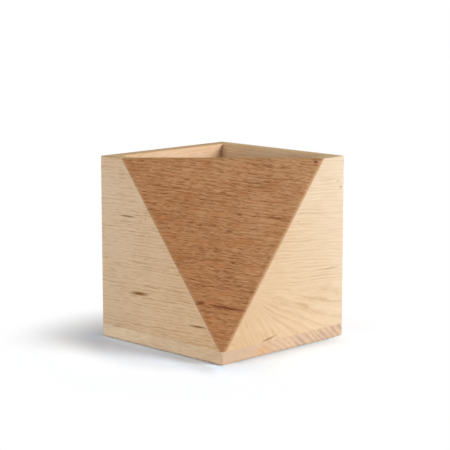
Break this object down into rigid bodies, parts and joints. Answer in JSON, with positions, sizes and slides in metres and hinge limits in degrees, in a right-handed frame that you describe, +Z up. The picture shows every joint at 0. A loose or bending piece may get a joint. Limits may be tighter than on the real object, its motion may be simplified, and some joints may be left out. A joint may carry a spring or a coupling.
{
  "type": "pencil pot",
  "caption": "Square wooden desk pot with mitred walls on a base board, one corner sliced away by a leaning facet, open at the top to hold pens, pencils and scissors.",
  "frame": {"origin": "middle of the underside, on the surface that the pot stands on", "axes": "+Z up; the facet faces -Y, the back upright corner points to +Y, the left and right upright corners lie on the X axis; the solids are the same on both sides of the plane X = 0"},
  "size_m": [0.1408, 0.1408, 0.107],
  "materials": {
    "left_front_board": "fine sanded beech, thin matt oil",
    "right_front_board": "fine sanded beech, thin matt oil",
    "back_left_board": "fine sanded beech, thin matt oil",
    "back_right_board": "fine sanded beech, thin matt oil",
    "facet_board": "fine sanded steamed beech, thin matt oil",
    "base_wood": "fine sanded beech, thin matt oil",
    "tongue_wood": "sawn beech, glued in"
  },
  "bodies": {
    "root": {"left_front_wall": "left_front_board", "right_front_wall": "right_front_board", "back_left_wall": "back_left_board", "back_right_wall": "back_right_board", "front_facet_panel": "facet_board", "base_board": "base_wood", "left_mitre_tongue": "tongue_wood", "right_mitre_tongue": "tongue_wood", "back_mitre_tongue": "tongue_wood"}
  },
  "joints": []
}
